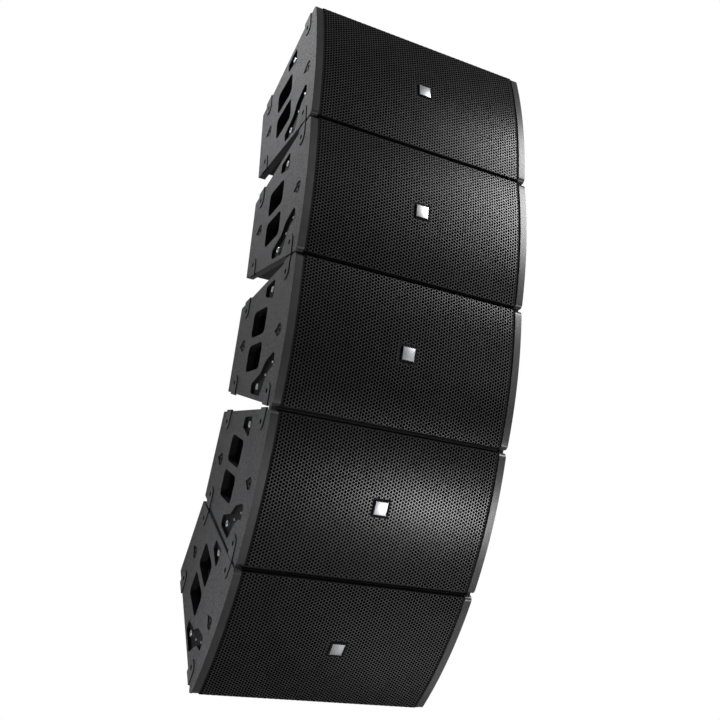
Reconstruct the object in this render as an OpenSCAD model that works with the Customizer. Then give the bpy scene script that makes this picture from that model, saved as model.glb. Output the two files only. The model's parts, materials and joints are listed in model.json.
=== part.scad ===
// Hanging line array of five loudspeaker modules, each hinged to the next at the
// front and set to its splay angle by a slotted bar at the rear. Millimetres.
// +X is to the right of someone facing the grilles, +Y is to the rear, +Z is up.
// The origin is the rear top pin hole of the top module, where the array hangs.
// Each module is drawn about its own middle: y = 0 is the plane of its front
// corners and z = 0 its mid height. A name with _y or _z is a place in it.

/* [Splay] */
// Angle between modules 1 and 2
splay_1 = 8.5; // [0:0.5:20]
// Angle between modules 2 and 3
splay_2 = 8; // [0:0.5:20]
// Angle between modules 3 and 4
splay_3 = 13; // [0:0.5:20]
// Angle between modules 4 and 5
splay_4 = 19; // [0:0.5:20]
// Largest angle between two modules, shared by the two facing slopes
splay_max = 20; // [20:1:24]

/* [Module] */
// Width over the two cheeks
module_w = 600; // [590:1:680]
// Height at the front
module_h = 349.5; // [344:0.5:380]
// Depth of the cheeks behind their front corners
module_d = 374; // [372:1:400]
// Gap between two modules at the hinge
seam = 1; // [0.8:0.1:2]
// Clearance of a piece that sits in a pocket
seat = 0.2; // [0.1:0.05:0.3]

/* [Cheeks] */
// Thickness of a cheek
cheek_t = 18; // [17:0.5:24]
// How far the front edge bulges forward at mid height
bulge = 14.5; // [8:0.5:24]
// Rounding of the front corners
corner_r = 12; // [6:1:18]
// Rounding of the rear corners
rear_corner_r = 4; // [1:1:10]
// Set-back of the sloping edges from the steel tabs
setback = 3.5; // [2:0.5:6]
// Depth of the two pin recesses
recess_depth = 8; // [6:0.5:9]
// Depth of the drop-shaped seats around the threaded inserts
drop_depth = 2.5; // [1.5:0.5:4]

/* [Handles] */
// Centre of the handle behind the front corners
handle_y = 196; // [190:1:205]
// Length of the finger windows
window_w = 101; // [90:1:108]
// Height of one finger window
window_h = 65; // [50:1:70]
// Height of the grip bar between the windows
grip = 20; // [16:1:30]
// Corner radius of the windows
window_r = 14; // [8:1:20]
// Depth of the hand pocket behind the cheek
pocket_depth = 42; // [30:1:44]
// Wall of the hand pocket
pocket_wall = 4; // [3:0.5:6]

/* [Rigging] */
// Place of the front hinge behind the front corners
hinge_y = 20; // [18:1:24]
// Place of the front tabs
front_tab_y = 48; // [46:1:54]
// Radius of the corner tabs
tab_r = 18.5; // [16:0.5:22]
// Thickness of the corner tabs
tab_t = 5; // [4:0.5:6]
// How far the tabs stand proud of the cheek
tab_proud = 2.5; // [1:0.5:3]
// Hole radius in the tabs
tab_hole_r = 6; // [4:0.5:7]
// Distance from the seam to the hole of a front tab
front_hole_drop = 37.8; // [34:0.2:44]
// Place of the rear tabs
rear_tab_y = 320; // [300:1:340]
// Distance from the slope to the hole of a rear tab
rear_hole_drop = 30; // [28:1:40]
// Outer radius of the hinge knuckles
knuckle_r = 9; // [8:0.5:10]
// Thickness of one hinge knuckle
knuckle_t = 5.2; // [4.5:0.1:5.6]
// Radius of the hinge rods
hinge_pin_r = 4; // [3:0.5:5]
// Radial clearance of pins in their holes
fit = 0.05; // [0.03:0.01:0.1]

/* [Rear channel] */
// Half the inner width of the steel channel
channel_in = 6; // [6:0.5:8]
// Thickness of the channel flanges and web
channel_t = 6; // [4:0.5:8]
// Floor of the channel, measured from the front corners
channel_floor_y = 324; // [320:1:325]
// Place of the bar pivot and pin behind the front corners
pin_y = 360; // [357:1:361]
// Height of the pin hole above mid height, and of the pivot below it
pin_z = 90; // [86:1:94]
// Radius of the splay pins and pivot bolts
pin_r = 5; // [4:0.5:6]
// Thickness of the splay bar
bar_t = 10; // [8:0.5:10]
// Width of the splay bar
bar_w = 22; // [20:1:24]
// Clearance of the pin in the slot
slot_play = 0.3; // [0.3:0.1:0.6]
// Radius of the knob on a splay pin
knob_r = 9; // [8:0.5:11]
// Length of the knob
knob_l = 14; // [8:1:20]

/* [Cabinet] */
// Thickness of the boards
board_t = 15; // [12:1:18]
// Thickness of the baffle
baffle_t = 18; // [15:1:21]
// Front face of the baffle
baffle_y = 22; // [20:1:26]
// Front edge of the top and bottom boards
board_y = 14; // [10:1:18]
// Outer face of the back board
back_y = 340; // [334:1:342]

/* [Grille] */
// How far the grille's face lies behind the front edge of the cheeks
grille_drop = 0.9; // [0.5:0.1:3]
// Thickness of the sheet
grille_t = 1.5; // [1:0.1:2]
// Gap from the sheet's ends to the seam
grille_end = 3.5; // [2.5:0.5:6]
// Side of the square cut-out for the badge
cutout = 44; // [40:1:60]
// Side of the badge
badge_w = 36; // [24:1:38]
// Height of the badge's face in front of the grille
badge_proud = 2; // [1:0.5:4]
// How far the badge's base overlaps the sheet all round
badge_lip = 5; // [3:1:8]

/* [Drivers] */
// Outer radius of the woofer's frame
woofer_r = 151; // [145:1:151]
// Place of the woofer to the left of the middle
woofer_x = 110; // [108:1:112]
// Depth of the woofer behind the baffle's face
woofer_d = 110; // [90:1:140]
// Width of the horn's mouth
horn_w = 200; // [160:1:204]
// Height of the horn's mouth
horn_h = 270; // [200:1:290]
// Place of the horn to the right of the middle
horn_x = 156; // [154:1:158]
// Depth of the horn behind the baffle's face
horn_d = 105; // [80:1:120]
// Radius of the compression driver
driver_r = 60; // [50:1:62]
// Length of the compression driver
driver_l = 62; // [50:1:70]

/* [Fittings] */
// Radius of the large pins in the recesses
stud_r = 7.5; // [6:0.5:8]
// Radius of the small pins in the long recess
small_stud_r = 3; // [2:0.5:4]
// How far the pins stay below the cheek's face
stud_drop = 2.6; // [1:0.2:4]
// Thread radius of the side inserts
insert_r = 5; // [4:0.5:6]
// Flange radius of the side inserts
insert_flange_r = 8; // [7:0.5:10]
// Length of the side inserts
insert_l = 13; // [10:0.5:14]
// Bore radius of a connector socket
socket_r = 12.5; // [11:0.5:14]
// Depth of a connector socket
socket_d = 18; // [14:1:20]
// Width of the rear panel
panel_w = 130; // [110:1:160]
// Height of the rear panel
panel_h = 90; // [80:1:120]
// Thickness of the rear panel
panel_t = 3; // [2:0.5:4]

/* [Hidden] */
MODULES = [1:5];
JOINTS = [1:4];
PIECES = ["cabinet", "left_cheek", "right_cheek", "grille", "badge", "woofer", "horn",
          "rear_panel", "rigging", "fixings"];
$fn = 48;

splays = [splay_1, splay_2, splay_3, splay_4];
half_w = module_w / 2;
half_h = module_h / 2;
slope = splay_max / 2;
hinge_z = half_h + seam / 2;
inner_x = half_w - cheek_t;
far = 2 * module_w;

// Cheek profile
front_r = (half_h * half_h + bulge * bulge) / (2 * bulge);
front_cy = front_r - bulge;
front_angle = asin(half_h / front_r);
front_steps = 16;
insert_flange_t = 1.5;

// Tabs and hinge
tab_out = half_w + tab_proud;
tab_in = tab_out - tab_t;
front_hole_z = hinge_z - front_hole_drop;
rear_slope_z = half_h - (rear_tab_y - hinge_y) * tan(slope);
rear_hole_z = rear_slope_z - rear_hole_drop;
bush_r = tab_hole_r + 3.5;
bush_in = inner_x + 3;
knuckle_gap = 0.3;
upper_knuckle_in = tab_in - knuckle_t;
lower_knuckle_out = upper_knuckle_in - knuckle_gap;
lower_knuckle_in = lower_knuckle_out - knuckle_t;
knuckle_play = 1;
rod_gap = 0.4;
arm_knee = 3;

// Rear channel and splay bar
channel_out = channel_in + channel_t;
web_y = channel_floor_y - channel_t;
hinge_arm = norm([pin_y - hinge_y, hinge_z - pin_z]);
hinge_arm_angle = atan((hinge_z - pin_z) / (pin_y - hinge_y));
slot_play_end = 1;
slot_near = 2 * hinge_arm * sin(hinge_arm_angle - splay_max / 2) - slot_play_end;
slot_far = 2 * hinge_arm * sin(hinge_arm_angle) + slot_play_end;
slot_end_wall = 7;
bar_eye_r = bar_w / 2 + 1;
bolt_head_t = 4;

// Hand pocket
pocket_margin = 6;
pocket_w = window_w + 2 * pocket_margin;
pocket_h = grip + 2 * window_h + 2 * pocket_margin;
pocket_r = window_r + pocket_margin;
pocket_x = inner_x - pocket_depth;

// Grille
grille_half_h = half_h - grille_end;
grille_half_w = inner_x - 1;
grille_r = front_r - grille_drop;
grille_end_y = front_cy - sqrt(grille_r * grille_r - grille_half_h * grille_half_h);

// Drivers
frame_t = baffle_y - board_y;
driver_play = 1;
basket_r = woofer_r - 10;
cone_r = basket_r - 14;
cap_r = 38;
neck_back = 22;
pole_r = 32;
magnet_r = 84;
magnet_t = 34;
horn_wall = 4;
horn_lip = 8;
throat_r = 18;

// Pins and inserts in the cheeks
stud_in = inner_x + 2.5;
top_stud = [143, 115.5];
low_stud = [143, -118.3];
small_studs = [[94.5, -95.5], [55.5, -70.5]];
front_insert_y = 37;
rear_insert_y = 304.5;
drop_r = 15.5;
drop_shoulder = 15;
drop_l = 30;
socket_wall = 2.5;
socket_pitch = 52;
panel_x = 95;
panel_screw_r = 3;
panel_screw_head_r = 5;
panel_screw_inset = 9;

// ---- Helpers ----

// Corner points turned into arcs: each point is [y, z, radius]
function arc_of(p, before, after, steps) =
    let (u = (before - [p.x, p.y]) / norm(before - [p.x, p.y]),
         v = (after - [p.x, p.y]) / norm(after - [p.x, p.y]),
         half = acos(u * v) / 2,
         mid = (u + v) / norm(u + v),
         centre = [p.x, p.y] + mid * p.z / sin(half),
         start = [p.x, p.y] + u * p.z / tan(half) - centre,
         end = [p.x, p.y] + v * p.z / tan(half) - centre,
         turn = 180 - 2 * half,
         side = sign(start.x * end.y - start.y * end.x))
    [for (i = [0:steps]) let (a = side * turn * i / steps)
        centre + [start.x * cos(a) - start.y * sin(a), start.x * sin(a) + start.y * cos(a)]];

function rounded(points, steps = 6) =
    let (n = len(points))
    [for (i = [0:n - 1])
        let (p = points[i], a = points[(i + n - 1) % n], b = points[(i + 1) % n])
        each p.z > 0 ? arc_of(p, [a.x, a.y], [b.x, b.y], steps) : [[p.x, p.y]]];

function rounded_rect(y0, y1, z0, z1, r) =
    rounded([[y0, z0, r], [y1, z0, r], [y1, z1, r], [y0, z1, r]]);

// Stands a (y, z) outline up between two x places
module slab(x0, x1) {
    translate([min(x0, x1), 0, 0]) rotate([90, 0, 90]) linear_extrude(abs(x1 - x0)) children();
}

// A cylinder along X
module rod(x0, x1, r, y = 0, z = 0) {
    translate([min(x0, x1), y, z]) rotate([0, 90, 0]) cylinder(h = abs(x1 - x0), r = r);
}

// A cylinder along Y
module plug(y0, y1, r, x = 0, z = 0) {
    translate([x, y0, z]) rotate([-90, 0, 0]) cylinder(h = y1 - y0, r = r);
}

module block(x0, x1, y0, y1, z0, z1) {
    translate([x0, y0, z0]) cube([x1 - x0, y1 - y0, z1 - z0]);
}

// Both sides of the module from one drawn at +X
module both_sides() {
    children();
    mirror([1, 0, 0]) children();
}

// Moves a piece drawn about a module's middle to module k of the array
module at_module(k) {
    if (k > 1)
        at_module(k - 1)
            translate([0, hinge_y, -hinge_z])
                rotate([splays[k - 2], 0, 0])
                    translate([0, -hinge_y, -hinge_z]) children();
    else
        translate([0, -pin_y, -pin_z]) children();
}

// ---- Outlines in a module's (y, z) plane ----

// The height of the sloping edge at y, less a set-back
function slope_z(inset, y) = half_h - inset / cos(slope) - (y - hinge_y) * tan(slope);

// Where the level edge at height flat meets the sloping edge
function flat_end(inset, flat) = hinge_y - (flat - slope_z(inset, hinge_y)) / tan(slope);

// The wedge between the two planes that face the neighbours, less a set-back,
// from y0 to y1
module wedge(inset, y0, y1) {
    flat = half_h - max(inset - setback, 0);
    flat_y = flat_end(inset, flat);
    far_y = 2 * module_d;
    far_z = slope_z(inset, far_y);
    intersection() {
        polygon([[-far, -flat], [flat_y, -flat], [far_y, -far_z],
                 [far_y, far_z], [flat_y, flat], [-far, flat]]);
        translate([y0, -far]) square([y1 - y0, 2 * far]);
    }
}

module cheek_outline() {
    rear_z = slope_z(setback, module_d);
    front = [for (i = [1:front_steps - 1])
        let (a = front_angle * (1 - 2 * i / front_steps))
        [front_cy - front_r * cos(a), front_r * sin(a), 0]];
    polygon(rounded(concat(
        [[0, -half_h, corner_r],
         [module_d, -rear_z, rear_corner_r], [module_d, rear_z, rear_corner_r],
         [0, half_h, corner_r]],
        front)));
}

// A corner tab: round about its hole, straight out to the seam. end is 1 or -1.
module tab_outline(y, z, end, grow = 0) {
    intersection() {
        union() {
            translate([y, end * z]) circle(tab_r + grow);
            translate([y - tab_r - grow, end > 0 ? z : -far]) square([2 * (tab_r + grow), far - z]);
        }
        wedge(0, -far, far);
    }
}

// A hinge arm: from a front tab's hole forward to the knuckle on the hinge axis
module arm_outline(end, reach, eye, grow = 0) {
    half = knuckle_r + grow;
    knee_z = hinge_z - knuckle_r - arm_knee;
    polygon([for (p = [[front_tab_y + half, front_hole_z], [hinge_y + half, knee_z],
                       [hinge_y + half, reach], [hinge_y - half, reach],
                       [hinge_y - half, knee_z], [front_tab_y - half, front_hole_z]])
        [p.x, end * p.y]]);
    if (eye)
        translate([hinge_y, end * hinge_z]) circle(knuckle_r);
}

module window_outline(end) {
    z0 = end > 0 ? grip / 2 : -grip / 2 - window_h;
    polygon(rounded_rect(handle_y - window_w / 2, handle_y + window_w / 2,
                         z0, z0 + window_h, window_r));
}

module top_recess_outline() {
    polygon(rounded([[179.5, 127, 8], [121.5, 137.5, 8], [118, 88.5, 8], [179.5, 102, 8]]));
}

// The long curved recess below the handle
module low_recess_outline() {
    polygon(rounded([[179.5, -107.5, 8], [122.5, -90, 12], [97.5, -64, 40], [37.5, -44, 14],
                     [37.5, -80.5, 8], [73.5, -93.5, 50], [106.5, -144.5, 9],
                     [177.5, -132, 10]]));
}

// A drop-shaped seat that points to the rear
module drop_outline(y) {
    translate([y, 0]) {
        circle(drop_r);
        polygon([[0, drop_shoulder], [0, -drop_shoulder], [drop_l, 0]]);
    }
}

// ---- Cheek ----

module cheek() {
    color("dimgray") difference() {
        slab(inner_x, half_w) cheek_outline();
        for (end = [-1, 1]) {
            slab(inner_x - 1, half_w + 1) window_outline(end);
            // Seats of the steel tabs and of their bushes
            slab(tab_in - seat, half_w + 1) tab_outline(front_tab_y, front_hole_z, end, seat);
            slab(tab_in - seat, half_w + 1) tab_outline(rear_tab_y, rear_hole_z, end, seat);
            rod(bush_in - seat, half_w, bush_r + seat, front_tab_y, end * front_hole_z);
            rod(bush_in - seat, half_w, bush_r + seat, rear_tab_y, end * rear_hole_z);
            hinge_pocket(end);
        }
        slab(half_w - recess_depth, half_w + 1) top_recess_outline();
        slab(half_w - recess_depth, half_w + 1) low_recess_outline();
        rod(stud_in, half_w, stud_r + seat, top_stud.x, top_stud.y);
        rod(stud_in, half_w, stud_r + seat, low_stud.x, low_stud.y);
        for (p = small_studs)
            rod(stud_in, half_w, small_stud_r + seat, p.x, p.y);
        for (y = [front_insert_y, rear_insert_y]) {
            slab(half_w - drop_depth, half_w + 1) drop_outline(y);
            rod(half_w - drop_depth - insert_l - seat, half_w, insert_r + 2 + seat, y);
        }
    }
}

// Slot for this module's hinge arm, the neighbour's knuckle and the hinge rod. A thin
// skin of the board covers it at the side.
module hinge_pocket(end) {
    x0 = lower_knuckle_in - knuckle_gap;
    rod(inner_x - 1, x0 + 1, hinge_pin_r + rod_gap, hinge_y, end * hinge_z);
    rod(x0, tab_in, knuckle_r + knuckle_play, hinge_y, end * hinge_z);
    slab(x0, tab_in) arm_outline(end, far, false, seat);
}

// ---- Cabinet ----

module shell_outline(inset, y0, y1) {
    wedge(setback + 1 + inset, y0, y1);
}

module cabinet() {
    color("#1b1b1c") difference() {
        union() {
            difference() {
                slab(-inner_x, inner_x) shell_outline(0, board_y, back_y);
                // Room in front of the baffle
                slab(board_t - inner_x, inner_x - board_t)
                    shell_outline(board_t, board_y - 1, baffle_y);
                // Room behind the baffle
                slab(board_t - inner_x, inner_x - board_t)
                    shell_outline(board_t, baffle_y + baffle_t, back_y - board_t);
            }
            both_sides() hand_pocket(pocket_wall, pocket_x - pocket_wall, inner_x);
            // Housing around the rear channel
            slab(-channel_out - board_t, channel_out + board_t)
                shell_outline(0, web_y - board_t, back_y);
        }
        both_sides() hand_pocket(0, pocket_x, inner_x + 1);
        block(-channel_out - seat, channel_out + seat, web_y - seat, far, -far, far);
        plug(baffle_y - 1, baffle_y + baffle_t + 1, basket_r + driver_play, -woofer_x);
        block(horn_x - horn_w / 2 - driver_play, horn_x + horn_w / 2 + driver_play,
              baffle_y - 1, baffle_y + baffle_t + 1,
              -horn_h / 2 - driver_play, horn_h / 2 + driver_play);
        sockets() plug(back_y - board_t - far, back_y + 1, socket_r + socket_wall + seat);
        panel_screws() plug(back_y - board_t - 1, back_y + 1, panel_screw_r + seat);
    }
}

module hand_pocket(grow, x0, x1) {
    slab(x0, x1)
        polygon(rounded_rect(handle_y - pocket_w / 2 - grow, handle_y + pocket_w / 2 + grow,
                             -pocket_h / 2 - grow, pocket_h / 2 + grow, pocket_r + grow));
}

// ---- Grille and badge ----

// A sheet that follows the bulge of the cheeks
module curved_sheet(face, t, w, h) {
    slab(-w / 2, w / 2) intersection() {
        difference() {
            translate([front_cy, 0]) circle(face, $fn = 400);
            translate([front_cy, 0]) circle(face - t, $fn = 400);
        }
        translate([-bulge - 1, -h / 2]) square([front_r, h]);
    }
}

module grille() {
    color("#2c2c2c") difference() {
        union() {
            curved_sheet(grille_r, grille_t, 2 * grille_half_w, 2 * grille_half_h);
            for (end = [-1, 1])
                slab(-grille_half_w, grille_half_w)
                    translate([grille_end_y, end > 0 ? grille_half_h - grille_t : -grille_half_h])
                        square([board_y - seat - grille_end_y, grille_t]);
        }
        block(-cutout / 2, cutout / 2, -bulge - 1, 0, -cutout / 2, cutout / 2);
    }
}

module badge() {
    face_y = grille_drop - bulge - badge_proud;
    base = cutout + 2 * badge_lip;
    color("#8f9193") {
        block(-badge_w / 2, badge_w / 2, face_y, grille_drop - bulge + grille_t + 1,
              -badge_w / 2, badge_w / 2);
        curved_sheet(grille_r - grille_t - seat, 2, base, base);
    }
}

// ---- Drivers ----

module woofer() {
    cap_y = baffle_y + woofer_d * 0.2;
    neck_y = cap_y + neck_back;
    front_y = board_y + 1;
    magnet_y = baffle_y + woofer_d - magnet_t;
    back = baffle_y + woofer_d;
    color("#141414") translate([-woofer_x, 0, 0]) rotate([-90, 0, 0]) {
        // Cap, cone, surround, frame ring, pole and magnet
        rotate_extrude($fn = 96)
            polygon([[0, cap_y], [cap_r * 0.7, cap_y + 4], [cap_r, cap_y + 14],
                     [cone_r, baffle_y + 5], [cone_r + 5, front_y + 2], [cone_r + 10, front_y + 1],
                     [basket_r, front_y + 3], [woofer_r, front_y], [woofer_r, baffle_y],
                     [basket_r, baffle_y], [basket_r, baffle_y + 5], [cone_r, baffle_y + 9],
                     [pole_r, neck_y], [pole_r, magnet_y], [magnet_r, magnet_y],
                     [magnet_r, back], [0, back]]);
        for (i = [0:5])
            rotate([0, 0, 60 * i + 30]) basket_leg(magnet_y);
    }
}

// A leg of the basket, from the frame ring back to the magnet
module basket_leg(magnet_y) {
    leg_t = 12;
    bend_y = baffle_y + baffle_t;
    translate([0, leg_t / 2, 0]) rotate([90, 0, 0]) linear_extrude(leg_t)
        polygon([[basket_r - leg_t, baffle_y + 4], [basket_r, baffle_y + 4],
                 [basket_r - 3, bend_y], [magnet_r, magnet_y + 5],
                 [magnet_r - leg_t, magnet_y + 5], [basket_r - leg_t - 3, bend_y]]);
}

// A flare between the mouth and the throat, grown by a wall
module flare(grow, y0, y1) {
    intersection() {
        linear_extrude(far, center = true)
            polygon([[horn_x - horn_w / 2 - grow, y0], [horn_x + horn_w / 2 + grow, y0],
                     [horn_x + throat_r + grow, y1], [horn_x - throat_r - grow, y1]]);
        slab(-far, far)
            polygon([[y0, -horn_h / 2 - grow], [y0, horn_h / 2 + grow],
                     [y1, throat_r + grow], [y1, -throat_r - grow]]);
    }
}

module horn() {
    y0 = baffle_y - horn_wall;
    y1 = baffle_y + horn_d;
    color("#181818") difference() {
        union() {
            flare(0, y0, y1);
            block(horn_x - horn_w / 2 - horn_lip, horn_x + horn_w / 2 + horn_lip, y0, baffle_y,
                  -horn_h / 2 - horn_lip, horn_h / 2 + horn_lip);
            plug(y1 - 1, y1 + driver_l, driver_r, horn_x);
        }
        flare(-horn_wall, y0 - 1, y1 - 1);
    }
}

// ---- Rear panel ----

module sockets() {
    for (side = [-1, 1])
        translate([panel_x + side * socket_pitch / 2, 0, 0]) children();
}

module panel_screws() {
    for (sx = [-1, 1], sz = [-1, 1])
        translate([panel_x + sx * (panel_w / 2 - panel_screw_inset), 0,
                   sz * (panel_h / 2 - panel_screw_inset)]) children();
}

module rear_panel() {
    face = back_y + panel_t;
    color("#202124") difference() {
        union() {
            block(panel_x - panel_w / 2, panel_x + panel_w / 2, back_y, face,
                  -panel_h / 2, panel_h / 2);
            sockets() plug(face - socket_d - socket_wall, face + 2, socket_r + socket_wall);
        }
        sockets() plug(face - socket_d, face + 3, socket_r);
        panel_screws() plug(back_y - 1, face + 1, panel_screw_r + seat);
    }
}

// ---- Rigging ----

module tab(y, z, end) {
    difference() {
        union() {
            slab(tab_in, tab_out) tab_outline(y, z, end);
            rod(bush_in, tab_in + 1, bush_r, y, end * z);
            children();
        }
        rod(bush_in - 1, tab_out + 1, tab_hole_r, y, end * z);
    }
}

// The lower arm of a module carries the outer knuckle
module outer_knuckle() {
    difference() {
        slab(upper_knuckle_in, tab_in - knuckle_gap) arm_outline(-1, hinge_z, true);
        rod(upper_knuckle_in - 1, tab_in + 1, hinge_pin_r + fit, hinge_y, -hinge_z);
    }
}

// The upper arm carries the inner knuckle, and clears the neighbour's outer one
module inner_knuckle() {
    difference() {
        union() {
            slab(lower_knuckle_in, lower_knuckle_out) arm_outline(1, hinge_z, true);
            slab(lower_knuckle_in, tab_in - knuckle_gap)
                arm_outline(1, hinge_z - knuckle_r - knuckle_play, false);
        }
        rod(lower_knuckle_in - 1, tab_in + 1, hinge_pin_r + fit, hinge_y, hinge_z);
    }
}

module channel() {
    difference() {
        slab(-channel_out, channel_out) wedge(setback, web_y, module_d);
        block(-channel_in, channel_in, channel_floor_y, far, -far, far);
        for (z = [-pin_z, pin_z])
            rod(-channel_out - 1, channel_out + 1, pin_r + fit, pin_y, z);
    }
}

module rigging(k) {
    rod_end = tab_in - knuckle_gap;
    color("#26282b") {
        both_sides() {
            tab(front_tab_y, front_hole_z, 1) inner_knuckle();
            tab(front_tab_y, front_hole_z, -1) outer_knuckle();
            for (end = [-1, 1])
                tab(rear_tab_y, rear_hole_z, end);
        }
        // Hinge rod to the module below, from cheek to cheek
        if (k < 5)
            rod(-rod_end, rod_end, hinge_pin_r, hinge_y, -hinge_z);
        channel();
    }
}

// ---- Pins, inserts and bolts ----

module stud(p, r) {
    difference() {
        rod(stud_in + seat, half_w - stud_drop, r, p.x, p.y);
        rod(half_w - stud_drop - 4, half_w, r / 2, p.x, p.y);
    }
}

module insert(y) {
    face = half_w - drop_depth + insert_flange_t;
    difference() {
        union() {
            rod(half_w - drop_depth - insert_l, face, insert_r + 2, y);
            rod(half_w - drop_depth, face, insert_flange_r, y);
        }
        rod(half_w - drop_depth - insert_l + 1, half_w, insert_r, y);
    }
}

module panel_screw() {
    plug(back_y - board_t, back_y + panel_t, panel_screw_r);
    plug(back_y + panel_t, back_y + panel_t + 2, panel_screw_head_r);
}

module fixings(k) {
    color("silver") {
        both_sides() {
            stud(top_stud, stud_r);
            stud(low_stud, stud_r);
            for (p = small_studs)
                stud(p, small_stud_r);
            insert(front_insert_y);
            insert(rear_insert_y);
        }
        panel_screws() panel_screw();
        // Pivot bolt of the splay bar
        if (k < 5) {
            rod(-channel_out - bolt_head_t, channel_out + bolt_head_t, pin_r, pin_y, -pin_z);
            both_sides()
                rod(channel_out, channel_out + bolt_head_t, pin_r + 4, pin_y, -pin_z);
        }
    }
}

// ---- Splay bar and its pin, drawn about the module above and the one below ----

module splay_bar(k) {
    color("#3a3c3f")
        translate([0, pin_y, -pin_z]) rotate([splays[k - 1] / 2, 0, 0])
            difference() {
                union() {
                    rod(-bar_t / 2, bar_t / 2, bar_eye_r);
                    block(-bar_t / 2, bar_t / 2, -bar_w / 2, bar_w / 2,
                          -slot_far - pin_r - slot_play - slot_end_wall, 0);
                }
                rod(-bar_t, bar_t, pin_r + fit);
                rod(-bar_t, bar_t, pin_r + slot_play, 0, -slot_near);
                rod(-bar_t, bar_t, pin_r + slot_play, 0, -slot_far);
                block(-bar_t, bar_t, -pin_r - slot_play, pin_r + slot_play, -slot_far, -slot_near);
            }
}

module splay_pin() {
    color("silver") {
        rod(-channel_out - 2, channel_out + seat + 1, pin_r, pin_y, pin_z);
        rod(channel_out + seat, channel_out + seat + knob_l, knob_r, pin_y, pin_z);
    }
}

// ---- The nodes ----

for (k = MODULES) {
    at_module(k) cabinet();
    at_module(k) mirror([1, 0, 0]) cheek();
    at_module(k) cheek();
    at_module(k) grille();
    at_module(k) badge();
    at_module(k) woofer();
    at_module(k) horn();
    at_module(k) rear_panel();
    at_module(k) rigging(k);
    at_module(k) fixings(k);
}
for (k = JOINTS) {
    at_module(k) splay_bar(k);
    at_module(k + 1) splay_pin();
}
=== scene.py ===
# %% [markdown]
# # A hanging line array
#
# Five equal loudspeaker modules hang one under the other. Each is a wedge: two slopes
# of ten degrees let the modules close up at the rear, so that the row curves. A cabinet
# of painted plywood sits between two thick cheeks, behind a curved perforated grille.
#
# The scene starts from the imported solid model. Its nodes are loaded as they are, and
# every piece made here rides on one of its bodies, so that the modules can still hinge.

# %% Load the frame
import json
import math

import bpy
from mathutils import Matrix, Vector


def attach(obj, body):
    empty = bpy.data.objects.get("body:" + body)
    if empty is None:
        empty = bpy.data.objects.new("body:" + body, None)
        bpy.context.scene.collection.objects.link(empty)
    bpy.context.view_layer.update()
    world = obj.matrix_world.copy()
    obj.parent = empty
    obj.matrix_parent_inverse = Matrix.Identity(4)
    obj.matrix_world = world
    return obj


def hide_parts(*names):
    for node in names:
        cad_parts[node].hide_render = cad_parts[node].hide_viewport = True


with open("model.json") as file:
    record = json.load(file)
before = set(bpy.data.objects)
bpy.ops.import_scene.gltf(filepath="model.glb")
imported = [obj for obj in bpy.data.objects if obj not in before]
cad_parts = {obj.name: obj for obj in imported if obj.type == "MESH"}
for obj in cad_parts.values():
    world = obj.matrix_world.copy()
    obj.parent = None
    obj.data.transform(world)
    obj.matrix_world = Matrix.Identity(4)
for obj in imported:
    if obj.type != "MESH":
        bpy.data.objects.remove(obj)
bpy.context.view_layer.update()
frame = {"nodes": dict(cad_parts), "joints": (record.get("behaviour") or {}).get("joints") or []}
MM = 0.001

# %% [markdown]
# ## Where the modules are
#
# Every module is drawn about its own middle: x to the right, y to the rear from the
# plane of its front corners, z up from mid height. A matrix then takes it to its place.
# The joints of the solid model say where the hinges are, and how far each is open.
#
# The solid model's origin is the hole that the array hangs by, at the rear of module 1.

# %% Module places
COUNT = 5
MODULES = range(1, COUNT + 1)
PIN = Vector((0, 360 * MM, 90 * MM))    # the hanging hole, in module 1
SEAM = 1 * MM                           # between two modules, at the front
INNER_X = 282 * MM                      # the cheeks' inner and outer faces
OUTER_X = 300 * MM
REAR_Y = 374 * MM                       # the modules' rear plane
SLOPE = math.tan(math.radians(10))
joints = {joint["name"]: joint for joint in frame["joints"]}
hinge_low = Vector(joints["splay_1"]["pos_m"]) + PIN
hinge_top = Vector((0, hinge_low.y, -hinge_low.z))
HALF_H = hinge_top.z - SEAM / 2
place = {1: Matrix.Translation(-PIN)}
for k in range(1, COUNT):
    splay = math.radians(-joints[f"splay_{k}"]["range_deg"][0])
    turn = Matrix.Rotation(splay, 4, "X")
    place[k + 1] = (place[k] @ Matrix.Translation(hinge_low) @ turn
                    @ Matrix.Translation(-hinge_top))
print("hinge in a module:", [round(v, 4) for v in hinge_low])

# %% [markdown]
# ## The camera
#
# It stands low and to the left, and looks up at the array, as an audience does.
# A 45 mm lens on a full frame keeps the perspective mild.

# %% Camera
CAMERA_PLACE = Vector((-897, -1552, -1632)) * MM - PIN
YAW, PITCH, ROLL = 0.4409, 0.4561, 0.0140    # radians
LENS = 45.5
FULL_FRAME = 36


def camera_axes(yaw, pitch, roll):
    """Right, up and backward directions of a camera that looks along +Y when unturned."""
    forward = Vector((math.sin(yaw) * math.cos(pitch), math.cos(yaw) * math.cos(pitch),
                      math.sin(pitch)))
    level = Vector((math.cos(yaw), -math.sin(yaw), 0))
    upright = level.cross(forward)
    right = math.cos(roll) * level + math.sin(roll) * upright
    up = -math.sin(roll) * level + math.cos(roll) * upright
    return right, up, -forward


camera_data = bpy.data.cameras.new("camera")
camera_data.lens = LENS
camera_data.sensor_width = FULL_FRAME
camera = bpy.data.objects.new("camera", camera_data)
bpy.context.collection.objects.link(camera)
turned = Matrix(camera_axes(YAW, PITCH, ROLL)).transposed().to_4x4()
camera.matrix_world = Matrix.Translation(CAMERA_PLACE) @ turned
bpy.context.scene.camera = camera
bpy.context.scene.view_settings.view_transform = "Standard"

# %% [markdown]
# ## Material helpers
#
# Colours are written as hex values, the way a paint chart gives them, and Blender wants
# linear light, so one function converts them. Another adds a node to a material or to
# the world, with its settings and links. The rest are the steps that the paints share:
# a noise of a given grain, a colour between two tones, and a bump.


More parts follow.
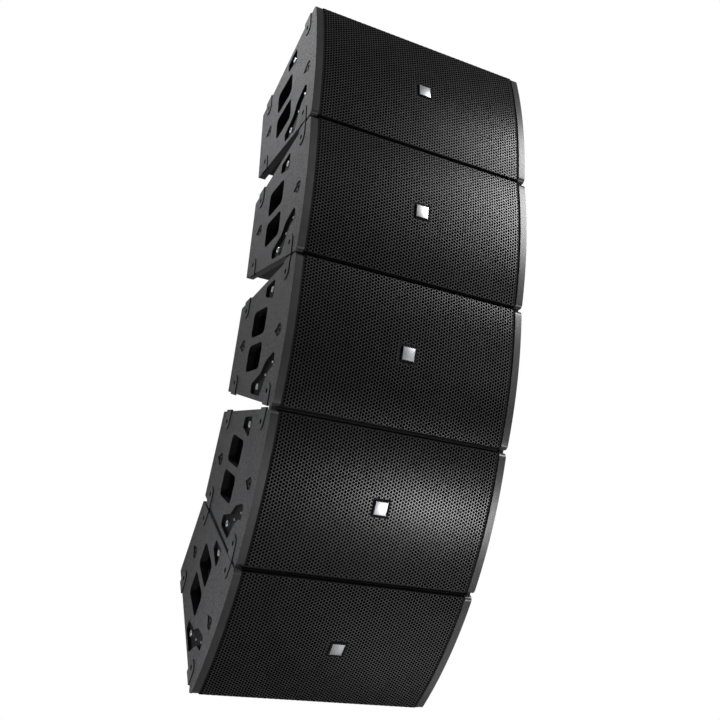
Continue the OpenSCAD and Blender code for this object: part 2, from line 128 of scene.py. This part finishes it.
# %% Colour and node helpers
def paint(hex_value):
    """An sRGB hex colour as linear RGBA."""
    channels = [int(hex_value[i:i + 2], 16) / 255 for i in (1, 3, 5)]
    linear = [c / 12.92 if c <= 0.04045 else ((c + 0.055) / 1.055) ** 2.4 for c in channels]
    return (*linear, 1.0)


def add_node(owner, kind, inputs=None, **settings):
    """Adds a node to a material or a world. inputs maps a socket's name or number to a
    value, or to another node's output, which is then linked."""
    tree = owner.node_tree
    node = tree.nodes.new(kind)
    for key, value in settings.items():
        setattr(node, key, value)
    for socket, value in (inputs or {}).items():
        if isinstance(value, bpy.types.NodeSocket):
            tree.links.new(value, node.inputs[socket])
        else:
            node.inputs[socket].default_value = value
    return node


def new_material(name, colour, roughness, metallic=0.0, gloss=0.5):
    """A material with its surface shader. gloss is the strength of its reflections."""
    material = bpy.data.materials.new(name)
    material.use_nodes = True
    shader = material.node_tree.nodes["Principled BSDF"]
    shader.inputs["Base Color"].default_value = paint(colour)
    shader.inputs["Roughness"].default_value = roughness
    shader.inputs["Metallic"].default_value = metallic
    shader.inputs["Specular IOR Level"].default_value = gloss
    return material, shader


def object_noise(material, size_mm, detail=2.0, roughness=0.5):
    """Noise whose lumps are about size_mm across, on the object's own metres."""
    where = add_node(material, "ShaderNodeTexCoord")
    return add_node(material, "ShaderNodeTexNoise", {
        "Vector": where.outputs["Object"], "Scale": 1 / (size_mm * MM),
        "Detail": detail, "Roughness": roughness})


def two_tone(material, factor, low, high):
    """A colour that runs from low to high over the middle third of a noise's range."""
    spread = add_node(material, "ShaderNodeMapRange", {
        "Value": factor, "From Min": 0.35, "From Max": 0.65})
    mix = add_node(material, "ShaderNodeMix", {"Factor": spread.outputs["Result"]},
                   data_type="RGBA")
    dark, light = [socket for socket in mix.inputs if socket.type == "RGBA"]
    dark.default_value = paint(low)
    light.default_value = paint(high)
    return next(socket for socket in mix.outputs if socket.type == "RGBA")


def connect(owner, output, socket):
    owner.node_tree.links.new(output, socket)


def add_bump(material, shader, height, distance_mm, strength):
    bump = add_node(material, "ShaderNodeBump", {
        "Height": height, "Distance": distance_mm * MM, "Strength": strength})
    connect(material, bump.outputs["Normal"], shader.inputs["Normal"])


# %% [markdown]
# ## Textured touring paint
#
# Touring cabinets are sprayed with a water-based paint that dries to a hard, lumpy
# orange-peel skin: grains of 1 to 3 mm that catch the light one by one. Two noises, one
# coarse and one fine, make the height, and the same coarse noise lightens the tops of the
# grains: a painted highlight where the grains catch the light. The grain is drawn at
# 3.4 mm so that it shows. A wide, soft noise makes the sheen differ a little from place to
# place.

# %% Textured paint
GRAIN_MM, FINE_GRAIN_MM = 3.4, 0.9
GRAIN_HEIGHT_MM = 1.8
SHEEN_PATCH_MM = 60


def vary_roughness(material, shader, noise, roughness, down, up):
    """Lets a noise move the roughness from a little below its value to a little above."""
    rough = add_node(material, "ShaderNodeMapRange", {
        "Value": noise.outputs["Fac"], "To Min": roughness - down, "To Max": roughness + up})
    connect(material, rough.outputs["Result"], shader.inputs["Roughness"])


def textured_paint(name, low, high, roughness=0.5, gloss=0.5):
    material, shader = new_material(name, low, roughness, gloss=gloss)
    grain = object_noise(material, GRAIN_MM, detail=3.0, roughness=0.7)
    fine = object_noise(material, FINE_GRAIN_MM, detail=1.0)
    # Painted highlight: the noise that raises the grains also makes their tops lighter.
    colour = two_tone(material, grain.outputs["Fac"], low, high)
    connect(material, colour, shader.inputs["Base Color"])
    height = add_node(material, "ShaderNodeMath", {
        0: grain.outputs["Fac"], 1: fine.outputs["Fac"]}, operation="ADD")
    add_bump(material, shader, height.outputs[0], GRAIN_HEIGHT_MM, 1.0)
    cloud = object_noise(material, SHEEN_PATCH_MM)
    vary_roughness(material, shader, cloud, roughness, 0.06, 0.08)
    return material


# The lighter of the two tones lands on the grain tops, as a painted highlight.
cheek_paint = textured_paint("textured_touring_paint", "#1b1b1d", "#5c5c5e", gloss=0.12)
# Near-black paint for the recess floors and the window walls: painted shade in the hollows.
recess_shade_paint = textured_paint("dark_recess_paint", "#0a0a0b", "#121213", 0.7, gloss=0.15)
cabinet_paint = textured_paint("black_cabinet_paint", "#080809", "#101011", 0.65, gloss=0.3)

# %% [markdown]
# ## Satin paint, powder coat and bright steel
#
# The cheeks' front edges are sanded before the last coat, so they stay smooth and
# satin; their paint is darker than the sides', as painted shade on the front-facing
# edges. The steel tabs and grilles are powder coated: an even film with a very fine
# orange peel of about 0.5 mm, drawn at 0.8 mm. The pins are zinc plated and brushed.

# %% Smooth finishes
PEEL_MM = 0.8
COLOUR_PATCH_MM = 45
BRUSHING = (4000, 250, 250)    # strokes per metre across x, and along y and z


def powder_coat(name, low, high, roughness, gloss=0.5):
    material, shader = new_material(name, low, roughness, gloss=gloss)
    peel = object_noise(material, PEEL_MM, detail=1.0)
    cloud = object_noise(material, COLOUR_PATCH_MM)
    colour = two_tone(material, cloud.outputs["Fac"], low, high)
    connect(material, colour, shader.inputs["Base Color"])
    add_bump(material, shader, peel.outputs["Fac"], 0.12, 0.35)
    return material


def brushed_metal(name, colour, roughness):
    material, shader = new_material(name, colour, roughness, metallic=1.0)
    where = add_node(material, "ShaderNodeTexCoord")
    stretch = add_node(material, "ShaderNodeMapping", {
        "Vector": where.outputs["Object"], "Scale": BRUSHING})
    lines = add_node(material, "ShaderNodeTexNoise", {
        "Vector": stretch.outputs["Vector"], "Scale": 1.0, "Detail": 2.0})
    vary_roughness(material, shader, lines, roughness, 0.08, 0.1)
    add_bump(material, shader, lines.outputs["Fac"], 0.05, 0.25)
    return material


# Darker than the cheeks' sides: painted shade on the front-facing edges.
shaded_edge_paint = powder_coat("satin_edge_paint", "#161617", "#1d1d1e", 0.34, gloss=0.3)
grille_coat = powder_coat("grille_powder_coat", "#141415", "#1b1b1c", 0.31, gloss=0.3)
# Near-black, dull coat for the grille's rim and the badge's surround: painted shade.
grille_rim_shade_coat = powder_coat("grille_rim_shade_coat", "#040404", "#070707", 0.7, gloss=0.1)
rigging_coat = powder_coat("rigging_powder_coat", "#343536", "#424344", 0.42, gloss=0.1)
# Near-black coat for the steel's cut edges and hole walls: painted shade.
cut_edge_shade_coat = powder_coat("cut_edge_shade_coat", "#080808", "#0c0c0c", 0.7, gloss=0.2)
panel_coat = powder_coat("panel_powder_coat", "#1a1a1c", "#222224", 0.45)
zinc = brushed_metal("zinc_plated_steel", "#c9cbcd", 0.3)
black_oxide = brushed_metal("black_oxide_steel", "#2c2d30", 0.4)
badge_metal = brushed_metal("satin_badge_metal", "#8b8d90", 0.38)

# %% [markdown]
# ## Foam, moulded plastic and driver black
#
# Behind the grille lies open-cell foam, black and quite dull, with pores of about
# 1 mm. The horn and the sockets are moulded plastic, and the woofer is coated paper.


# %% Dull blacks
def dull_black(name, low, high, roughness, grain_mm, depth_mm, gloss=0.4):
    material, shader = new_material(name, low, roughness, gloss=gloss)
    pores = object_noise(material, grain_mm, detail=3.0, roughness=0.7)
    colour = two_tone(material, pores.outputs["Fac"], low, high)
    connect(material, colour, shader.inputs["Base Color"])
    add_bump(material, shader, pores.outputs["Fac"], depth_mm, 0.8)
    return material


foam_black = dull_black("acoustic_foam", "#020202", "#080808", 1.0, 1.0, 1.0, gloss=0.0)
moulding = dull_black("black_moulding", "#0f0f10", "#161617", 0.5, 1.4, 0.1)
cone_black = dull_black("coated_paper_cone", "#0c0c0c", "#141414", 0.7, 2.0, 0.3)

# %% [markdown]
# ## Tools of the bench
#
# An operator works on whatever is selected, so each step starts with a clean selection.
# Pieces are picked in code by their place or by the way they face.
#
# A piece that is the same on every module is made once, about the module's middle, and
# each module then gets a copy with its own mesh.

# %% Selection and finishing helpers
MERGE = 0.01 * MM                # points closer than this are one
FLAT = math.radians(0.6)         # faces that meet at less than this are one
SHARP = math.radians(32)         # edges sharper than this get rounded
WOOD, PLATE, TURNED = 1.5 * MM, 0.8 * MM, 0.5 * MM    # how much, on each kind of edge


def only(piece):
    """Selects one object and makes it the active one."""
    bpy.ops.object.select_all(action="DESELECT")
    piece.select_set(True)
    bpy.context.view_layer.objects.active = piece


def apply_modifier(piece, kind, **settings):
    only(piece)
    modifier = piece.modifiers.new(kind.lower(), kind)
    for key, value in settings.items():
        setattr(modifier, key, value)
    bpy.ops.object.modifier_apply(modifier=modifier.name)


def pick(piece, mode, wanted):
    """Enters edit mode with the edges or faces selected for which wanted is true."""
    only(piece)
    bpy.ops.object.mode_set(mode="EDIT")
    bpy.ops.mesh.select_mode(type=mode)
    bpy.ops.mesh.select_all(action="DESELECT")
    bpy.ops.object.mode_set(mode="OBJECT")
    parts = piece.data.edges if mode == "EDGE" else piece.data.polygons
    for part in parts:
        part.select = wanted(part)
    bpy.ops.object.mode_set(mode="EDIT")


def leave_edit():
    bpy.ops.object.mode_set(mode="OBJECT")


def smooth(piece, degrees=35):
    only(piece)
    bpy.ops.object.shade_smooth_by_angle(angle=math.radians(degrees))


def cleaned(node, name):
    """A copy of a solid's mesh, merged and freed of needless edges."""
    piece = bpy.data.objects.new(name, frame["nodes"][node].data.copy())
    bpy.context.collection.objects.link(piece)
    only(piece)
    bpy.ops.object.mode_set(mode="EDIT")
    bpy.ops.mesh.select_all(action="SELECT")
    bpy.ops.mesh.remove_doubles(threshold=MERGE)
    bpy.ops.mesh.dissolve_limited(angle_limit=FLAT)
    leave_edit()
    return piece


def soften(piece, radius, steps=2):
    """Rounds a piece's sharp edges, and keeps the shading of its flat faces flat."""
    apply_modifier(piece, "BEVEL", width=radius, segments=steps,
                   limit_method="ANGLE", angle_limit=SHARP)
    smooth(piece)
    apply_modifier(piece, "WEIGHTED_NORMAL", weight=100, keep_sharp=True)


def softened(node, name, radius):
    piece = cleaned(node, name)
    soften(piece, radius)
    return piece


def finish_piece(piece, material, body, slot, *nodes):
    """Gives a piece its finish, hangs it on its body and hides the solids it stands for."""
    if material is not None:
        piece.data.materials.clear()
        piece.data.materials.append(material)
    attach(piece, body)
    if nodes:
        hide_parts(*nodes)


def copies(piece, name):
    """Repeats a piece on every module, each with its own mesh, by the module's number."""
    made = {}
    for k in MODULES:
        copy = bpy.data.objects.new(f"{name}_{k}", piece.data.copy())
        bpy.context.collection.objects.link(copy)
        copy.data.transform(place[k])
        made[k] = copy
    bpy.data.objects.remove(piece)
    return made


FROM_MODULE_1 = place[1].inverted()

# %% [markdown]
# ## The cheeks
#
# Each cheek is 18 mm plywood, cut by machine: a bulging front edge, seats for the steel
# tabs, two windows and a few recesses. The solid already has all of that with sharp
# edges. A router leaves a radius of about 1.5 mm, which is what catches the light. So a
# copy is merged and bevelled, and its front faces get the smooth paint, which is darker
# than the sides: painted shade on the front-facing edges. The hollows of the recesses and
# windows get a near-black paint: painted shade.

# %% Cheeks
# The front edges' darker paint and the hollows' near-black paint are painted shade.
CHEEK_FINISHES = (shaded_edge_paint, cheek_paint, recess_shade_paint)
SHADED_SATIN, TEXTURED, PAINTED_SHADE = range(3)
MARGIN = 6 * MM          # recesses stay this far from the cheek's outline
FACE_SKIN = 1.6 * MM     # the outer face with its rounding
BACK_SKIN = 0.2 * MM     # the glued inner face


def is_inside(centre):
    """Is a place well inside the cheek's outline, where only recesses and windows are?"""
    slope_z = HALF_H - (centre.y - hinge_low.y) * SLOPE
    return (MARGIN < centre.y < REAR_Y - MARGIN
            and abs(centre.z) < min(slope_z, HALF_H) - MARGIN)


def cheek_finish(face, sign):
    """The paint of one face of a cheek, by the way it faces and how deep it lies; hollows and
    front edges get darker paint, as painted shade.
    """
    sunk = OUTER_X - face.center.x * sign
    # Sunk faces well inside the outline get the near-black paint: painted shade.
    if FACE_SKIN < sunk < OUTER_X - INNER_X - BACK_SKIN and is_inside(face.center):
        return PAINTED_SHADE
    # Front-facing faces get the darker satin paint: painted shade.
    faces_front = face.normal.y < -0.35 and abs(face.normal.x) < 0.8
    return SHADED_SATIN if faces_front else TEXTURED


for side, sign in (("left", -1), ("right", 1)):
    cheek = cleaned(f"{side}_cheek_1", f"{side}_cheek")
    soften(cheek, WOOD, steps=3)
    cheek.data.transform(FROM_MODULE_1)
    cheek.data.materials.clear()
    for material in CHEEK_FINISHES:
        cheek.data.materials.append(material)
    for face in cheek.data.polygons:
        face.material_index = cheek_finish(face, sign)
    print(cheek.name, "faces:", len(cheek.data.polygons))
    for k, piece in copies(cheek, f"{side}_cheek_board").items():
        finish_piece(piece, None, f"module_{k}", "cheek_paint", f"{side}_cheek_{k}")

# %% [markdown]
# ## Cabinet, steelwork and fittings
#
# These solids only lack the small rounding that real edges have: 1.5 mm on painted wood,
# 0.8 mm on cut steel plate and 0.5 mm on turned pins. The cut edges of the steel and the
# walls of its holes get a near-black coat: painted shade. The lowest module has no hinge
# rod, so its steelwork and fittings are softened by themselves.

# %% Cabinet, sockets and steelwork
HEADS_FRONT, HEADS_REAR = 45 * MM, 290 * MM    # the pin heads lie between these places

for source, name, radius, material, slot in (
        ("cabinet", "cabinet_shell", WOOD, cabinet_paint, "cabinet_paint"),
        ("rear_panel", "socket_panel", TURNED, panel_coat, "panel_steel")):
    shell = softened(f"{source}_1", source, radius)
    shell.data.transform(FROM_MODULE_1)
    for k, piece in copies(shell, name).items():
        finish_piece(piece, material, f"module_{k}", slot, f"{source}_{k}")


def two_finishes(piece, materials, second):
    """Gives a piece two materials: the second one where second(face) is true."""
    piece.data.materials.clear()
    for material in materials:
        piece.data.materials.append(material)
    for face in piece.data.polygons:
        face.material_index = int(second(face))


def is_insert(centre):
    """Is a place in a module on a threaded insert, and so not on a pin head?"""
    return abs(centre.x) > INNER_X and not HEADS_FRONT < centre.y < HEADS_REAR


def is_cut_edge(face):
    """Is a face on the cut edge of a steel plate? The plates themselves face sideways."""
    return abs(face.normal.x) < 0.6


for k in MODULES:
    steel = softened(f"rigging_{k}", f"rigging_plate_{k}", PLATE)
    # The cut edges and hole walls take the near-black coat: painted shade.
    two_finishes(steel, (rigging_coat, cut_edge_shade_coat), is_cut_edge)
    finish_piece(steel, None, f"module_{k}", "rigging_steel", f"rigging_{k}")
    to_module = place[k].inverted()
    fittings = softened(f"fixings_{k}", f"fittings_{k}", TURNED)
    two_finishes(fittings, (zinc, black_oxide), lambda face: is_insert(to_module @ face.center))
    finish_piece(fittings, None, f"module_{k}", "bright_steel", f"fixings_{k}")

for k in range(1, COUNT):
    bar = softened(f"splay_bar_{k}", f"slotted_bar_{k}", PLATE)
    finish_piece(bar, rigging_coat, f"splay_bar_{k}", "bar_steel", f"splay_bar_{k}")
    pin = softened(f"splay_pin_{k}", f"pull_pin_{k}", PLATE)
    finish_piece(pin, zinc, f"splay_pin_{k}", "bright_steel", f"splay_pin_{k}")

# %% [markdown]
# ## The perforated grille
#
# A grille is a steel sheet with round holes of 6.8 mm on an 8 mm staggered pitch, rolled
# to the curve of the cheeks. Real holes throw real shadows on the foam, which a painted
# pattern can't do. One cell with an eight-sided hole is modelled, a second beside it is
# shifted by half a pitch, and two Array modifiers repeat the pair. Each hole has only a
# few dozen faces, so a whole grille stays light. The octagon is 7.1 mm across its
# corners, which leaves it as open as the round hole.
#
# The roll's radius follows from the bulge: the arc's rise over the height of a module.

# %% One pair of holes
PITCH = 8.02 * MM
COLUMN = PITCH * math.sqrt(3) / 2
HOLE_R = 3.55 * MM
HOLE_SIDES = 8
SHEET = 1.5 * MM
BULGE = 14.5 * MM        # of the cheeks' front edge
SUNK = 0.9 * MM          # of the grille behind that edge
SIDE_GAP = 1 * MM        # between the grille and each cheek
END_GAP = 3.5 * MM       # between the grille and the module's end
GRILLE_W = 2 * (INNER_X - SIDE_GAP)
GRILLE_RADIUS = (HALF_H ** 2 + BULGE ** 2) / (2 * BULGE) - SUNK
GRILLE_CENTRE_Y = GRILLE_RADIUS + SUNK - BULGE
GRILLE_HALF_ANGLE = math.asin((HALF_H - END_GAP) / GRILLE_RADIUS)
GRILLE_HALF_L = GRILLE_RADIUS * GRILLE_HALF_ANGLE


def hole_cell(x, z):
    """One cell of the sheet, flat in the plane y = 0, with a hole in the middle."""
    bpy.ops.object.select_all(action="DESELECT")
    bpy.ops.mesh.primitive_plane_add(size=1, rotation=(math.pi / 2, 0, 0))
    cell = bpy.context.object
    cell.scale = (COLUMN, PITCH, 1)
    bpy.ops.object.transform_apply(location=False, rotation=True, scale=True)
    pick(cell, "FACE", lambda f: True)
    bpy.ops.mesh.delete(type="ONLY_FACE")
    leave_edit()
    pick(cell, "EDGE", lambda e: abs(sum(cell.data.vertices[v].co.x for v in e.vertices))
         > COLUMN * 0.9)
    bpy.ops.mesh.subdivide(number_cuts=1)
    bpy.ops.mesh.primitive_circle_add(vertices=HOLE_SIDES, radius=HOLE_R, fill_type="NOTHING",
                                      rotation=(math.pi / 2, math.pi / HOLE_SIDES, 0))
    bpy.ops.mesh.select_all(action="SELECT")
    bpy.ops.mesh.bridge_edge_loops()
    leave_edit()
    cell.data.transform(Matrix.Translation((x, 0, z)))
    return cell


first = hole_cell(-COLUMN / 2, 0)
second = hole_cell(COLUMN / 2, PITCH / 2)
only(first)
second.select_set(True)
bpy.ops.object.join()
sheet = bpy.context.object
print("cell pair:", len(sheet.data.polygons), "faces")

# %% [markdown]
# The pair is repeated a little past the sheet's edges and then cut to size with straight
# cuts, as a guillotine does. The square for the badge is cut the same way, in four cuts.

# %% Repeat and trim the sheet
SIDE_BAND = 5.5 * MM     # the plain strip at each side
CUTOUT = 44 * MM         # the square for the badge
columns = math.ceil(GRILLE_W / (2 * COLUMN)) + 2
rows = math.ceil(2 * GRILLE_HALF_L / PITCH) + 3
for count, step in ((columns, (2 * COLUMN, 0, 0)), (rows, (0, 0, PITCH))):
    apply_modifier(sheet, "ARRAY", count=count, use_relative_offset=False,
                   use_constant_offset=True, constant_offset_displace=step,
                   use_merge_vertices=True, merge_threshold=0.05 * MM)
sheet.data.transform(Matrix.Translation((-(columns - 1) * COLUMN, 0, -(rows - 1) * PITCH / 2)))


def cut(piece, point, normal, region=None, clear=True):
    """Cuts a flat sheet along a line; what lies on the normal's side goes if clear."""
    pick(piece, "FACE", lambda f: region is None or region(f.center))
    bpy.ops.mesh.bisect(plane_co=point, plane_no=normal, clear_outer=clear,
                        use_fill=False, threshold=0.001 * MM)
    leave_edit()


def four_sides(half_x, half_z):
    """A point and an outward direction for each side of a rectangle."""
    for sign in (1, -1):
        yield (sign * half_x, 0, 0), (sign, 0, 0)
    for sign in (1, -1):
        yield (0, 0, sign * half_z), (0, 0, sign)


for point, normal in four_sides(GRILLE_W / 2 - SIDE_BAND, GRILLE_HALF_L):
    cut(sheet, point, normal)
near = CUTOUT / 2 + 2 * PITCH    # these cuts stop here
for point, normal in four_sides(CUTOUT / 2, CUTOUT / 2):
    cut(sheet, point, normal, lambda c: abs(c.x) < near and abs(c.z) < near, clear=False)
pick(sheet, "FACE", lambda f: max(abs(f.center.x), abs(f.center.z)) < CUTOUT / 2)
bpy.ops.mesh.delete(type="FACE")
leave_edit()
print("flat sheet:", len(sheet.data.polygons), "faces")

# %% [markdown]
# Rolling the sheet only needs the radius: a point's height along the flat sheet becomes
# an angle on the roll. Solidify then gives the steel its 1.5 mm, inwards.
#
# The rim is made of straight strips of the same steel: one down each side, a little below
# the holes, and a flange folded back at each end. A narrow lip stands on the flange's rear
# edge. It nearly meets the lip of the next module, so that no light shows between them.
# The rim's near-black, dull coat is painted shade in the gaps beside the grille and in
# the seams between modules.


# %% Roll the sheet and add its rim
def roll(mesh):
    """Bends a flat sheet in the plane y = 0, with its depth along y, to the grille's arc."""
    for vertex in mesh.vertices:
        depth, along = vertex.co.y, vertex.co.z
        angle = along / GRILLE_RADIUS
        radius = GRILLE_RADIUS - depth
        vertex.co.y = GRILLE_CENTRE_Y - radius * math.cos(angle)
        vertex.co.z = radius * math.sin(angle)
    mesh.update()


def face_front(piece):
    """Makes an open sheet face -Y all over."""
    pick(piece, "FACE", lambda f: f.normal.y > 0)
    bpy.ops.mesh.flip_normals()
    leave_edit()


def bar_of_sheet(x0, x1, z0, z1, depth0, depth1, steps=1):
    """A closed strip of sheet between two places across, along and in depth. It is
    divided along its length into steps, so that it can be rolled."""
    bpy.ops.object.select_all(action="DESELECT")
    bpy.ops.mesh.primitive_cube_add(size=1, location=((x0 + x1) / 2, (depth0 + depth1) / 2,
                                                      (z0 + z1) / 2))
    strip = bpy.context.object
    strip.scale = (x1 - x0, depth1 - depth0, z1 - z0)
    bpy.ops.object.transform_apply(location=True, rotation=False, scale=True)
    for i in range(1, steps):
        z = z0 + (z1 - z0) * i / steps
        pick(strip, "FACE", lambda f: True)
        bpy.ops.mesh.bisect(plane_co=(0, 0, z), plane_no=(0, 0, 1))
        leave_edit()
    return strip


face_front(sheet)
roll(sheet.data)
apply_modifier(sheet, "SOLIDIFY", thickness=SHEET, offset=-1)

DROP = 2 * MM                 # of the side strips below the sheet
FLANGE_TUCK = 0.3 * MM        # of the flanges behind the sheet's ends
LIP_FRONT, FLANGE_REAR = 12 * MM, 13.8 * MM
LIP_GAP = 1 * MM              # from the lip to the module's end
ROLL_STEPS = 24
half_w, half_l = GRILLE_W / 2, GRILLE_HALF_L
band_middle = half_w - SIDE_BAND / 2
rim = [bar_of_sheet(side * band_middle - SIDE_BAND / 2, side * band_middle + SIDE_BAND / 2,
                    -half_l, half_l, DROP, DROP + SHEET, ROLL_STEPS)
       for side in (-1, 1)]
for strip in rim:
    roll(strip.data)
end_z = HALF_H - END_GAP
end_y = GRILLE_CENTRE_Y - GRILLE_RADIUS * math.cos(GRILLE_HALF_ANGLE)
for sign in (-1, 1):
    z0, z1 = sorted((sign * (end_z - SHEET), sign * end_z))
    rim.append(bar_of_sheet(-half_w, half_w, z0, z1, end_y + FLANGE_TUCK, FLANGE_REAR))
    z0, z1 = sorted((sign * (end_z - SHEET / 2), sign * (HALF_H - LIP_GAP)))
    rim.append(bar_of_sheet(-half_w, half_w, z0, z1, LIP_FRONT, FLANGE_REAR))
# The rim's near-black coat: painted shade in the gaps and seams.
for strip in rim:
    strip.data.materials.append(grille_rim_shade_coat)
sheet.data.materials.append(grille_coat)
only(sheet)
for strip in rim:
    strip.select_set(True)
bpy.ops.object.join()
smooth(sheet, 20)
print("grille:", sum(len(p.vertices) - 2 for p in sheet.data.polygons), "triangles")
for k, piece in copies(sheet, "perforated_grille").items():
    finish_piece(piece, None, f"module_{k}", "grille_steel", f"grille_{k}")

# %% [markdown]
# ## The foam behind the grille
#
# A layer of open foam keeps rain and dust off the drivers and makes the holes look black.
# It follows the same roll, a few millimetres behind the sheet.

# %% Foam
FOAM_FRONT, FOAM_BACK = 4.6 * MM, 11.5 * MM
foam_w, foam_l = half_w - 4 * MM, half_l - 5 * MM    # a little smaller than the sheet
foam = bar_of_sheet(-foam_w, foam_w, -foam_l, foam_l, FOAM_FRONT, FOAM_BACK, ROLL_STEPS)
roll(foam.data)
smooth(foam, 20)
for k, piece in copies(foam, "grille_foam").items():
    finish_piece(piece, foam_black, f"module_{k}", "driver")

# %% [markdown]
# ## The badge
#
# A small cast plate sits in the square cut-out, a little proud of the sheet. It is left
# blank. Its corners and edges are rounded and its middle is slightly sunk, as on a plate
# that would take a label.

# %% Badge
BADGE = 36 * MM
BADGE_DEPTH = 4.7 * MM
BADGE_PROUD = 2 * MM          # of the grille's front
CORNER = 2 * MM
FRAME_W = 2.2 * MM            # the raised frame around the sunk middle
STEP_W, STEP_H = 0.5 * MM, 0.4 * MM
BASE = 27 * MM                # half the width of the dark plate behind the cut-out
badge_face = SUNK - BULGE - BADGE_PROUD
bpy.ops.object.select_all(action="DESELECT")
bpy.ops.mesh.primitive_cube_add(size=1, location=(0, badge_face + BADGE_DEPTH / 2, 0))
badge = bpy.context.object
badge.scale = (BADGE, BADGE_DEPTH, BADGE)
bpy.ops.object.transform_apply(location=True, rotation=False, scale=True)


def is_dark(face):
    """Is a face on the badge's side, or on its frame?"""
    reach = max(abs(face.center.x), abs(face.center.z))
    return face.normal.y > -0.5 or reach > BADGE / 2 - FRAME_W - 0.2 * MM


pick(badge, "EDGE", lambda e: True)
bpy.ops.mesh.bevel(offset=CORNER, segments=4)
leave_edit()
pick(badge, "FACE", lambda f: f.normal.y < -0.9)
bpy.ops.mesh.inset(thickness=FRAME_W)
bpy.ops.mesh.inset(thickness=STEP_W, depth=-STEP_H)
leave_edit()
apply_modifier(badge, "BEVEL", width=0.3 * MM, segments=2, limit_method="ANGLE",
               angle_limit=math.radians(40))
smooth(badge, 30)
# The plate behind the cut-out and the badge's sides take the near-black rim coat: painted shade
# around the badge. The badge's frame takes it too.
base = bar_of_sheet(-BASE, BASE, -BASE, BASE, SHEET + 0.2 * MM, SHEET + 2.2 * MM, 6)
roll(base.data)
two_finishes(badge, (badge_metal, grille_rim_shade_coat), is_dark)
base.data.materials.append(grille_rim_shade_coat)
only(badge)
base.select_set(True)
bpy.ops.object.join()
for k, piece in copies(badge, "blank_badge").items():
    finish_piece(piece, None, f"module_{k}", "badge_metal", f"badge_{k}")

# %% [markdown]
# ## Drivers behind the foam
#
# The woofer and the horn hardly show. Their solids have the right shape, so they only
# take a finish: assigning to the slot leaves the mesh as it is.

# %% Driver finishes
for k in MODULES:
    for node, material in ((f"woofer_{k}", cone_black), (f"horn_{k}", moulding)):
        for slot in frame["nodes"][node].material_slots:
            slot.material = material

# %% [markdown]
# ## Floor, background and light
#
# A pale floor far below, a white background and studio light. Two small soft lamps low
# at the left graze the cheeks, two at the front right give the grilles and the cheeks'
# edges their sheen, and two weak ones fill the front and the underside.
#
# The background is white to the camera and through clear things, and dim as a source of
# light. Glossy paint mirrors it at about a third of its white, so that black stays black.
# The floor shows the camera mostly plain white too, and a part of its own shading.

# %% Stage and background
WHITE = (1, 1, 1, 1)
FLOOR_SIZE, FLOOR_Z = 30, -2.6
FLOOR_GLOW = 0.7      # the share of plain white in what the camera sees of the floor
SKY = 0.1             # the background's strength as a source of light
MIRRORED = 0.35       # and the share of its white that glossy surfaces mirror


def surface_of(owner, output_node, factor, first, second):
    """Makes a mix of two shaders the surface of a material or the world."""
    mix = add_node(owner, "ShaderNodeMixShader", {"Fac": factor, 1: first, 2: second})
    connect(owner, mix.outputs["Shader"], owner.node_tree.nodes[output_node].inputs["Surface"])


bpy.ops.object.select_all(action="DESELECT")
bpy.ops.mesh.primitive_plane_add(size=FLOOR_SIZE, location=(0, 0, 0))
floor = bpy.context.object
floor.name = "floor"
floor.data.transform(Matrix.Translation((0, 0, FLOOR_Z)))
floor_paint, floor_shader = new_material("pale_floor", "#e6e6e6", 0.9)
glow = add_node(floor_paint, "ShaderNodeEmission", {"Color": WHITE, "Strength": 1.0})
path = add_node(floor_paint, "ShaderNodeLightPath")
share = add_node(floor_paint, "ShaderNodeMath", {
    0: path.outputs["Is Camera Ray"], 1: FLOOR_GLOW}, operation="MULTIPLY")
surface_of(floor_paint, "Material Output", share.outputs[0],
           floor_shader.outputs["BSDF"], glow.outputs["Emission"])
floor.data.materials.append(floor_paint)

world = bpy.data.worlds.new("studio")
world.use_nodes = True
bpy.context.scene.world = world
sky = world.node_tree.nodes["Background"]
sky.inputs["Color"].default_value = WHITE
sky.inputs["Strength"].default_value = SKY
white = add_node(world, "ShaderNodeBackground", {"Color": WHITE, "Strength": 1.0})
path = add_node(world, "ShaderNodeLightPath")
camera_or_gloss = add_node(world, "ShaderNodeMath", {
    0: path.outputs["Is Glossy Ray"], 1: MIRRORED, 2: path.outputs["Is Camera Ray"]},
    operation="MULTIPLY_ADD")
seen = add_node(world, "ShaderNodeMath", {
    0: camera_or_gloss.outputs[0], 1: path.outputs["Is Transmission Ray"]},
    operation="MAXIMUM")
surface_of(world, "World Output", seen.outputs[0],
           sky.outputs["Background"], white.outputs["Background"])


# %% Lamps
def soft_lamp(name, location, target, width, height, power, spread=180):
    """A rectangular lamp that faces its target. spread is its beam's angle in degrees."""
    data = bpy.data.lights.new(name, "AREA")
    data.shape = "RECTANGLE"
    data.size = width
    data.size_y = height
    data.energy = power
    data.spread = math.radians(spread)
    lamp = bpy.data.objects.new(name, data)
    bpy.context.collection.objects.link(lamp)
    lamp.location = location
    lamp.visible_camera = False
    aim = Vector(target) - Vector(location)
    lamp.rotation_euler = aim.to_track_quat("-Z", "Y").to_euler()


# Each lamp: its place and target in metres, its width and height, its power in watts.
soft_lamp("upper_left", (-1.4, 0.1, 0.9), (-0.3, -0.2, 0.05), 0.6, 0.6, 7, 56)
soft_lamp("lower_left", (-1.5, 0.2, -2.1), (-0.3, -0.05, -1.4), 0.6, 0.6, 3.6, 56)
soft_lamp("upper_right", (2.07, -2.6, 1.05), (0.28, -0.38, -0.3), 0.4, 1.5, 145)
soft_lamp("lower_right", (1.2, -1.67, -2.28), (0.13, -0.32, -1.2), 0.4, 0.4, 38)
soft_lamp("front", (1.9, -2.9, -0.95), (0, -0.35, -0.85), 0.8, 0.8, 7)
soft_lamp("below", (0.7, 0, -2.45), (0, 0.1, -1.5), 0.8, 0.8, 3)
